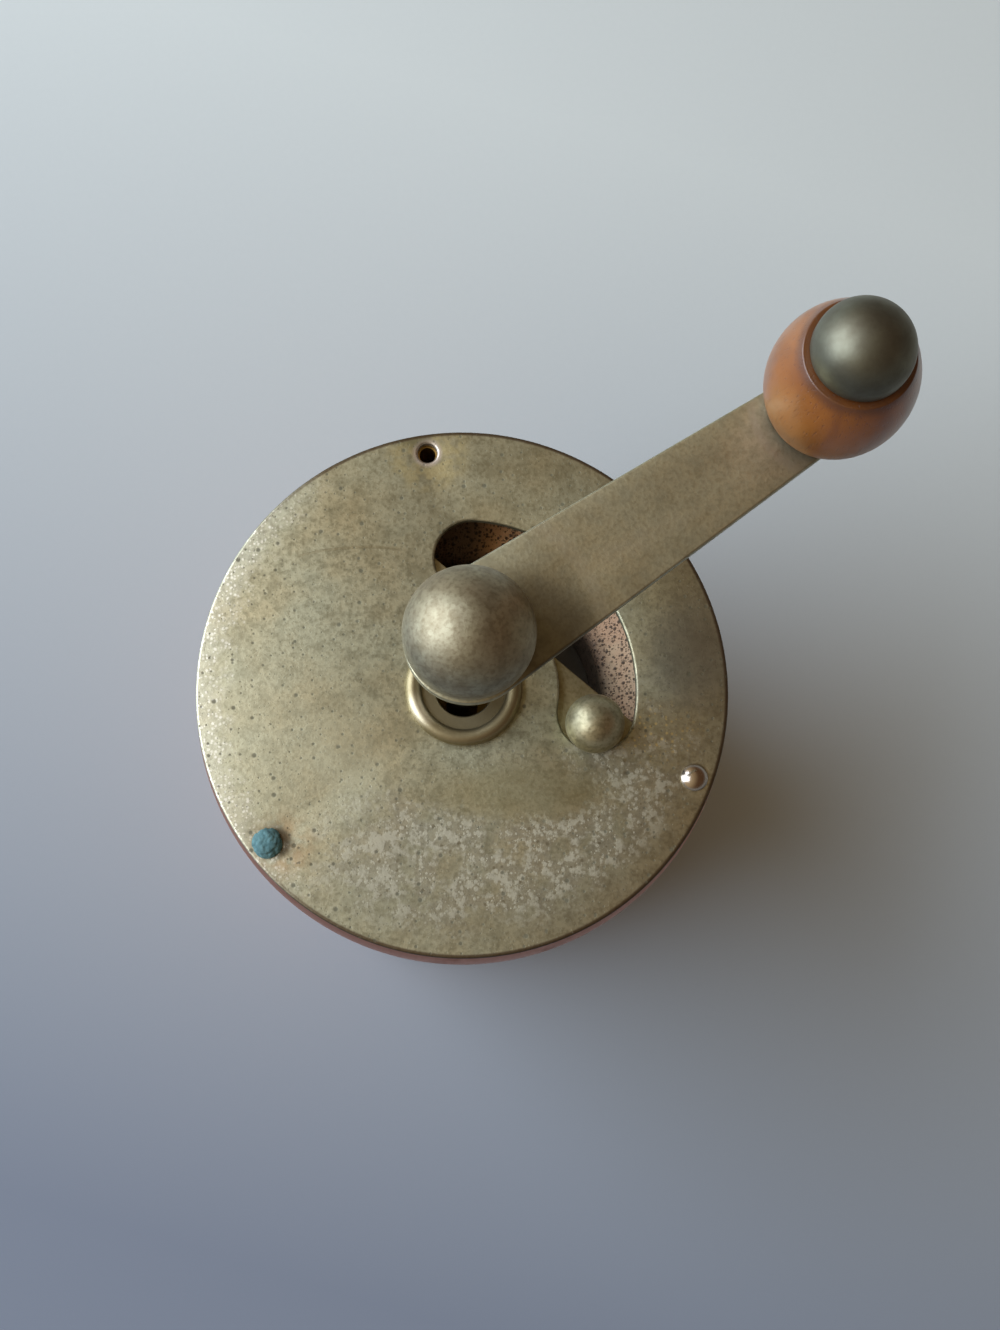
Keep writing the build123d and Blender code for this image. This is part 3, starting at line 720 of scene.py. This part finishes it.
# %% Collar
collar_finish = Finish("collar_brass")
clouding = collar_finish.clouds(3, 3, contrast=1.5)
fine_marks = collar_finish.clouds(0.5, 2, stretch=(1, 1, 0.3))
on_roll = collar_finish.rise(collar_finish.radius, 6.3, 7.2)
collar_finish.tint = collar_finish.mix(on_roll, paint(142, 134, 108), paint(172, 160, 126))
collar_finish.stain(clouding * 0.45, paint(104, 90, 62))
# A painted highlight on the left of the roll, where the window light catches it.
roll_highlight = collar_finish.spot((-6.2, -3.4), 0.6, 3.4) * on_roll
collar_finish.stain(roll_highlight * 0.8, paint(236, 226, 198))
collar_finish.stain(fine_marks * 0.2, paint(96, 84, 58))
collar_finish.set(
    Base_Color=collar_finish.tint,
    Metallic=0.95,
    Roughness=0.40 + clouding * 0.12,
)
collar_finish.relief(fine_marks * 0.012)
bore, dish, roll_foot, roll_side, slack = 4.35, 0.45, 6.3, 8.65, 0.05
roll_height = span("centre_collar")[1].z
washer_under = span("shutter_washer")[0].z
collar_under = span("centre_collar")[0].z
peen = 6.4
outline = [
    *arc((roll_foot, plate_top + dish), ((roll_foot + roll_side) / 2, roll_height),
         (roll_side, plate_top), 24),
    (collar_sleeve - slack, plate_top), (collar_sleeve - slack, washer_under), (peen, washer_under),
    (peen, collar_under), (bore, collar_under),
    *corner((bore, plate_top + dish), (bore, collar_under), (roll_foot, plate_top + dish), 0.3),
]
shown("collar", turned("collar", outline), "mill", "centre_collar", collar_finish)

# %% [markdown]
# ## The shutter
# The shutter is a disc with one straight edge.  Turned by its ball it covers the slot, and as it
# stands the straight edge leaves the slot open.  Only its corner under the ball shows.

# %% Shutter disc
shutter_finish = nickel("shutter_nickel", tone=0.72, shift=40, pitting=0.5, flat=True)
shutter_finish.stain(0.35, paint(150, 126, 74))
shutter_finish.set(
    Base_Color=shutter_finish.tint,
    Metallic=0.94,
    Roughness=shutter_finish.rough,
)
shutter_finish.relief(shutter_finish.rise_of_grain)
shutter_radius = -span("shutter_disc")[0].x
chord = 12.75
facing = radians(50)
half_open = sqrt(shutter_radius ** 2 - chord ** 2)
opening = atan2(half_open, chord)
outline = arc(
    polar(shutter_radius, facing + opening),
    polar(shutter_radius, facing + pi),
    polar(shutter_radius, facing - opening + 2 * pi),
    160,
)
knob_place = middle("shutter_knob")
shutter_low, shutter_high = span("shutter_disc")
shutter_mesh = cut(
    "shutter",
    [outline, circle((0, 0), collar_sleeve, 96), circle(knob_place, 1.25, 32)],
    shutter_low.z, shutter_high.z, 0.15,
)
shown("shutter", shutter_mesh, "shutter", "shutter_disc", shutter_finish)

# %% Shutter ball
ball_finish = nickel("shutter_ball", tone=0.95, shift=70, pitting=0.5)
ball_finish.set(
    Base_Color=ball_finish.mix(ball_finish.pits * 0.5, ball_finish.tint, seed_brown),
    Metallic=0.97,
    Roughness=ball_finish.rough,
)
ball_finish.relief(ball_finish.rise_of_grain - ball_finish.pits * 0.03)
low, high = span("shutter_knob")
ball = (high.x - low.x) / 2
ball_middle = high.z - ball
neck, rivet, rivet_head = 2.1, 1.2, 2.0
lowest = ball_middle - sqrt(ball ** 2 - neck ** 2)
outline = [
    *arc((0, high.z), (ball, ball_middle), (neck, lowest), 48),
    (neck, shutter_high.z), (rivet, shutter_high.z), (rivet, shutter_low.z),
    (rivet_head, shutter_low.z), (rivet_head, low.z), (0, low.z),
]
ball_mesh = turned("shutter_ball", outline, knob_place, 128)
shown("shutter_ball", ball_mesh, "shutter", "shutter_knob", ball_finish)

# %% [markdown]
# ## Copper
# Copper shows in two places: pale and dusty inside the funnel, and browned by hands on the body.
# One recipe serves both, each with its own share of brown.  The funnel is then painted paler
# where the window light falls on its wall, gets one brighter patch of painted light, painted shade
# down its throat and at the slot's upper end, and the fine dust of ground seed.

# %% Copper


def copper(name, browned, speckled, shift=0):
    """Copper with brown clouds, and with specks where seed dust sticks."""
    made = Finish(name)
    clouds = made.clouds(11, 4, shift=shift, contrast=1.8)
    patches = made.clouds(3.2, 4, shift=shift + 8, contrast=1.6)
    rubbing = made.clouds(0.7, 2, stretch=(1, 1, 0.12), shift=shift + 2)
    made.tint = made.mix(patches * 0.5, paint(214, 146, 112), paint(188, 116, 82))
    brown = made.rise(clouds * 0.6 + patches * 0.4, 0.62 - browned, 1.0 - browned * 0.6)
    made.stain(brown * 0.6, paint(126, 76, 54))
    made.stain(rubbing * 0.22, paint(96, 56, 40))
    made.dust = made.specks(1.3, 0.42, speckled, shift)
    made.stain(made.dust * 0.85, paint(46, 34, 26))
    made.brown = brown
    made.rubbing = rubbing
    return made


body_copper = copper("body_copper", browned=0.12, speckled=0.10)
body_copper.set(
    Base_Color=body_copper.tint,
    Metallic=0.97 - body_copper.dust * 0.5,
    Roughness=0.34 + body_copper.brown * 0.14 + body_copper.rubbing * 0.08,
)
body_copper.relief(body_copper.rubbing * 0.02 - body_copper.dust * 0.03)
funnel_copper = copper("funnel_copper", browned=0.0, speckled=0.5, shift=50)
# The funnel is paler and dustier than the body, and painted paler still where the window light falls
# on its wall: painted light.
lit_side = funnel_copper.rise(funnel_copper.y - funnel_copper.x * 0.6, -12, 10)
lit_side = funnel_copper.rise(lit_side + funnel_copper.clouds(5, 4, shift=66, contrast=1.6), 0.9, 0.3)
funnel_copper.stain(0.60 + lit_side * 0.3, paint(224, 200, 166))
# A brighter patch of painted light by the slot's upper end.
lit_patch = funnel_copper.spot((7, 24), 2, 8)
funnel_copper.stain(lit_patch * 0.9, paint(250, 196, 142))
seed_dust = funnel_copper.most(funnel_copper.specks(0.62, 0.46, 1.2, 71),
                               funnel_copper.specks(0.38, 0.29, 1.2, 33) * 0.8)
# Painted shade: darker down the throat, and at the slot's upper end, where the lid shades the wall.
throat_shade = funnel_copper.fall(funnel_copper.radius + funnel_copper.clouds(1.6, 3) * 2.0, 23.0, 26.5)
funnel_copper.stain(throat_shade * 0.75, paint(64, 56, 50))
shaded = funnel_copper.fall(funnel_copper.x, 1, 6) * funnel_copper.rise(funnel_copper.y, 8, 14)
funnel_copper.stain(shaded * 0.7, paint(58, 48, 42))
funnel_copper.stain(seed_dust * 0.85, paint(46, 38, 32))
funnel_copper.set(
    Base_Color=funnel_copper.tint,
    Metallic=0.35 - funnel_copper.dust * 0.3,
    Roughness=0.55 + funnel_copper.dust * 0.3,
)
funnel_copper.relief(funnel_copper.dust * 0.06 + seed_dust * 0.05)
print("copper for the body and for the funnel")

# %% Body, cup and funnel
sheet = 0.8
shoulder_inset = 1.4
shoulder_start = plate_under - 8.0
bead = 2.4
edge_round = 0.2
body_inner = body_radius - sheet


def shoulder(inwards):
    """The body's upper edge, bending in under the lid."""
    drop = plate_under - shoulder_start
    bend = (shoulder_inset ** 2 + drop ** 2) / (2 * shoulder_inset)
    reach = asin(drop / bend)
    centre = (body_radius - inwards - bend, shoulder_start)
    return [polar(bend, reach * step / 24, centre) for step in range(25)]


shell_outline = [
    *shoulder(0), *reversed(shoulder(sheet)),
    (body_inner, seam_height),
    *corner((body_radius, seam_height), (body_inner, seam_height), (body_radius, seam_height + 1),
            edge_round),
    *arc((body_radius, seam_height + edge_round),
         (body_radius + bead_proud, seam_height + edge_round + (bead - edge_round) / 2),
         (body_radius, seam_height + bead), 20)[1:],
]
shown("body", turned("body", shell_outline), "mill", "body_shell", body_copper)

foot_high = 3.0
foot_radius = span("receiver_wall")[1].x
cup_outline = [
    *arc((body_radius, 0), (foot_radius, foot_high / 2), (body_radius, foot_high), 24),
    *corner((body_radius, seam_height), (body_radius, foot_high), (body_inner, seam_height),
            edge_round),
    (body_inner, seam_height), (body_inner, 0),
]
shown("cup", turned("cup", cup_outline), "receiver", "receiver_wall", body_copper)

rim = span("hopper_funnel")[1].x
throat_low = span("hopper_funnel")[0].z
funnel_sheet, flange, bend, throat, cone_drop = 0.7, 4.0, 1.5, 22.3, 6.0
throat_top = shoulder_start - cone_drop
lean = atan2(shoulder_start - throat_top, rim - throat)
at_rim = (rim, shoulder_start)
at_throat = (throat, throat_top)
under_rim = (rim - funnel_sheet, shoulder_start - funnel_sheet * (1 + sin(lean)) / cos(lean))
under_throat = (throat + funnel_sheet, throat_top - funnel_sheet * (1 - sin(lean)) / cos(lean))
flange_low = shoulder_start - flange
funnel_outline = [
    (rim, flange_low),
    *corner(at_rim, (rim, flange_low), at_throat, bend, 10),
    *corner(at_throat, at_rim, (throat, throat_low), bend, 10),
    (throat, throat_low), (throat + funnel_sheet, throat_low),
    *corner(under_throat, (throat + funnel_sheet, throat_low), under_rim, bend - funnel_sheet),
    *corner(under_rim, under_throat, (rim - funnel_sheet, flange_low), bend - funnel_sheet),
    (rim - funnel_sheet, flange_low),
]
funnel_mesh = turned("funnel", funnel_outline)
shown("funnel", funnel_mesh, "mill", "hopper_funnel", funnel_copper)

# %% [markdown]
# ## The crank
# The arm is a strip of nickelled steel that narrows from the hub to the knob.  A ball nut clamps
# it to the shaft.  Both are rubbed smooth by the palm, so they have fewer pits than the lid.

# %% The arm
arm_finish = nickel("arm_nickel", tone=1.08, shift=110, pitting=0.2, flat=True)
arm_finish.stain(0.45, paint(184, 180, 156))
from_knob = arm_finish.vector("SUBTRACT", arm_finish.place, (*knob_axis, arm_top))
from_knob = arm_finish.vector("LENGTH", from_knob, output=1)
rubbed_ring = 9.6
rubbed = arm_finish.fall(abs(from_knob - rubbed_ring), 0.25, 0.8)
arm_finish.stain(rubbed * 0.5, pale_of_crust_and_sheen)
# Painted shadow of the ball nut on the arm, darker and browner beside the nut.
nut_shadow = arm_finish.spot((9, 1), 4, 11)
arm_finish.stain(nut_shadow * 0.75, paint(74, 64, 48))
# A pale arc of painted light round the hub, at the edge of the ball nut's shadow.
arc_of_light = arm_finish.fall(abs(arm_finish.radius - 17.2), 0.3, 1.6)
arm_finish.stain(arc_of_light * 0.35, pale_of_crust_and_sheen)
along = arm_finish.x * cos(crank_angle) + arm_finish.y * sin(crank_angle)
aside = arm_finish.y * cos(crank_angle) - arm_finish.x * sin(crank_angle)
# A pale streak along the arm: painted reflection.
streak_of_sheen = arm_finish.fall(abs(aside + along * 0.1 - 1.0), 0.2, 2.2)
streak_of_sheen = streak_of_sheen * arm_finish.rise(along, 17, 21) * arm_finish.fall(along, 24, 38)
arm_finish.stain(streak_of_sheen * 0.3, pale_of_crust_and_sheen)
arm_finish.set(
    Base_Color=arm_finish.mix(arm_finish.pits * 0.3, arm_finish.tint, seed_brown),
    Metallic=0.97,
    Roughness=arm_finish.rough - 0.04,
)
arm_finish.relief(arm_finish.rise_of_grain)
hub, end, square, pin_hole = 8.2, 5.4, 3.5, 2.25
side_from = acos((hub - end) / crank_radius)


def along_arm(x, y):
    """A point given along and across the arm."""
    return (x * cos(crank_angle) - y * sin(crank_angle), x * sin(crank_angle) + y * cos(crank_angle))


def arm_arc(centre, size, first, last, steps=40):
    """An arc of the arm's outline."""
    angles = [first + (last - first) * step / steps for step in range(steps + 1)]
    return [along_arm(*polar(size, a, (centre, 0))) for a in angles]


corners = ((1, 1), (-1, 1), (-1, -1), (1, -1))
square_hole = [along_arm(x * square / 2, y * square / 2) for x, y in corners]
arm_mesh = cut(
    "arm",
    [
        [
            *arm_arc(0, hub, side_from, 2 * pi - side_from),
            *arm_arc(crank_radius, end, -side_from, side_from),
        ],
        square_hole,
        circle(knob_axis, pin_hole, 48),
    ],
    arm_under, arm_top, 0.35,
)
shown("arm", arm_mesh, "crank", "crank_arm", arm_finish)

# %% The ball nut
nut_finish = nickel("ball_nickel", tone=0.86, shift=150, pitting=0.2)
palm = nut_finish.clouds(5, 3, shift=12, contrast=1.6)
nut_finish.stain(0.15 + palm * 0.35, paint(142, 118, 92))
nut_finish.set(
    Base_Color=nut_finish.mix(nut_finish.pits * 0.4, nut_finish.tint, seed_brown),
    Metallic=0.97,
    Roughness=0.46 + palm * 0.12,
)
nut_finish.relief(nut_finish.rise_of_grain - nut_finish.pits * 0.03)
low, high = span("ball_nut")
nut = (high.x - low.x) / 2
nut_middle = high.z - nut
foot = sqrt(nut ** 2 - (nut_middle - arm_top) ** 2)
stud_hole, stud_deep = 1.7, 8.05
outline = [
    *arc((foot, arm_top), (nut, nut_middle), (0, high.z), 72),
    (0, arm_top + stud_deep), (stud_hole, arm_top + stud_deep), (stud_hole, arm_top),
]
shown("ball_nut", turned("ball_nut", outline), "crank", "ball_nut", nut_finish)

# %% [markdown]
# ## The knob
# The knob is turned from a light hardwood, stained orange and varnished, and worn dull where
# fingers hold it.  Its grain runs up the knob, so the noise is stretched along Z.  Dirt has
# settled at its foot, and under the metal dome that keeps it on its pin the wood is painted dark
# as dirt and as painted shade.

# %% Wood
wood = Finish("knob_wood", knob_axis)
rings_centre = wood.vector("SUBTRACT", wood.place, (5, 3, 0))
rings = wood.vector("LENGTH", wood.vector("MULTIPLY", rings_centre, (1, 1, 0.12)), output=1)
wander = wood.clouds(6, 3, stretch=(1, 1, 0.25), contrast=2.0)
growth = wood.node("ShaderNodeMath", {"operation": "SINE"}, {0: (rings + wander * 1.6) * 4.2})
growth = wood.rise(growth, -0.6, 1.0)
pores = wood.rise(wood.clouds(0.28, 2, stretch=(1, 1, 0.06)), 0.58, 0.72)
foot_height = span("wood_knob")[0].z
top_height = span("wood_knob")[1].z
# Darker at the foot as dirt, and under the dome as dirt and painted shade.
grime_and_shade = wood.most(wood.fall(wood.z, foot_height + 0.2, foot_height + 2.6),
                  wood.rise(wood.z, top_height - 1.8, top_height - 0.1))
worn_wood = wood.rise(wood.clouds(4.5, 3, shift=20, contrast=1.8), 0.4, 0.9)
wood.tint = wood.mix(growth * 0.35, paint(142, 82, 10), paint(96, 48, 7))
wood.stain(worn_wood * 0.3, paint(154, 94, 36))
wood.stain(pores * 0.4, paint(96, 46, 20))
wood.stain(grime_and_shade * 0.7, paint(70, 38, 22))
wood.set(
    Base_Color=wood.tint,
    Metallic=0.0,
    Roughness=0.34 + worn_wood * 0.14,
    Coat_Weight=0.65 - worn_wood * 0.25,
    Coat_Roughness=0.34,
)
wood.relief(pores * -0.03 + growth * 0.01)
print("wood nodes:", len(wood.tree.nodes))

# %% Knob and dome
base, belly, belly_up, neck_of_knob, pin = 7.4, 9.35, 9.2, 6.9, 2.25
belly_height = foot_height + belly_up
side = arc((base, foot_height), (belly, belly_height), (neck_of_knob, top_height), 64)
outline = [
    *corner(side[0], (pin, foot_height), side[3], 0.9, 8),
    *side[5:-2],
    *corner(side[-1], side[-3], (pin, top_height), 0.25, 6),
    (pin, top_height), (pin, foot_height),
]
shown("knob", turned("knob", outline, knob_axis), "knob", "wood_knob", wood)

dome_finish = Finish("dome_steel", knob_axis)
tarnish = dome_finish.clouds(4, 4, contrast=1.7)
fine_rub = dome_finish.clouds(0.6, 2)
dome_finish.tint = dome_finish.mix(tarnish, paint(134, 135, 118), paint(94, 88, 74))
dome_finish.stain(dome_finish.specks(1.2, 0.2, 0.3) * 0.6, paint(58, 50, 38))
dome_finish.stain(fine_rub * 0.2, paint(70, 62, 48))
dome_finish.set(
    Base_Color=dome_finish.tint,
    Metallic=0.96,
    Roughness=0.42 + tarnish * 0.12,
)
dome_finish.relief(fine_rub * 0.01)
low, high = span("knob_dome")
dome = (high.x - low.x) / 2
spring = high.z - dome
stub, stub_deep, lip_round = 1.65, 4.25, 0.3
outline = [
    *arc((dome, spring), (dome * sqrt(0.5), spring + dome * sqrt(0.5)), (0, high.z), 48),
    (0, low.z + stub_deep), (stub, low.z + stub_deep), (stub, low.z),
    *corner((dome, low.z), (stub, low.z), (dome, spring), lip_round),
]
shown("dome", turned("dome", outline, knob_axis), "crank", "knob_dome", dome_finish)

# %% [markdown]
# ## The inner works
# The burrs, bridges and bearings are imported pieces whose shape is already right, so they stay
# and only get a finish: blued burr steel, plain bright steel, brass and clean copper.

# %% Finishes of the inner works


def metal(name, bright, dull, roughness, size=4):
    """A plain metal: bright with dull clouds, fine rubbing and a few specks."""
    made = Finish(name)
    clouds = made.clouds(size, 4, contrast=1.6)
    rubbing = made.clouds(0.5, 2, stretch=(1, 1, 0.3))
    specks = made.specks(1.4, 0.2, 0.2)
    made.tint = made.mix(clouds * 0.6, bright, dull)
    made.stain(rubbing * 0.2, dull)
    made.stain(specks * 0.6, paint(48, 42, 34))
    made.set(
        Base_Color=made.tint,
        Metallic=0.97,
        Roughness=roughness + clouds * 0.12,
    )
    made.relief(rubbing * 0.01 - specks * 0.02)
    return made


brass = metal("brass", paint(206, 176, 108), paint(128, 100, 52), 0.30)
steel = metal("steel", paint(96, 92, 86), paint(54, 51, 46), 0.42)
burr_steel = metal("burr_steel", paint(112, 112, 112), paint(58, 55, 52), 0.38)
shaft_steel = metal("shaft_steel", paint(180, 176, 164), paint(110, 102, 86), 0.28, size=7)
inner_copper = metal("inner_copper", paint(214, 140, 104), paint(140, 82, 58), 0.34, size=9)
finish_of_slot = {
    "inner_copper": inner_copper, "inner_brass": brass, "inner_steel": steel,
    "burr_steel": burr_steel, "shaft_steel": shaft_steel,
}
for part in frame["record"]["subparts"]:
    made = finish_of_slot.get(part["material_slot"])
    if made is not None:
        piece = frame["nodes"][part["node"]]
        piece.data.materials.clear()
        piece.data.materials.append(made.material)
        print(part["node"], "->", made.material.name)
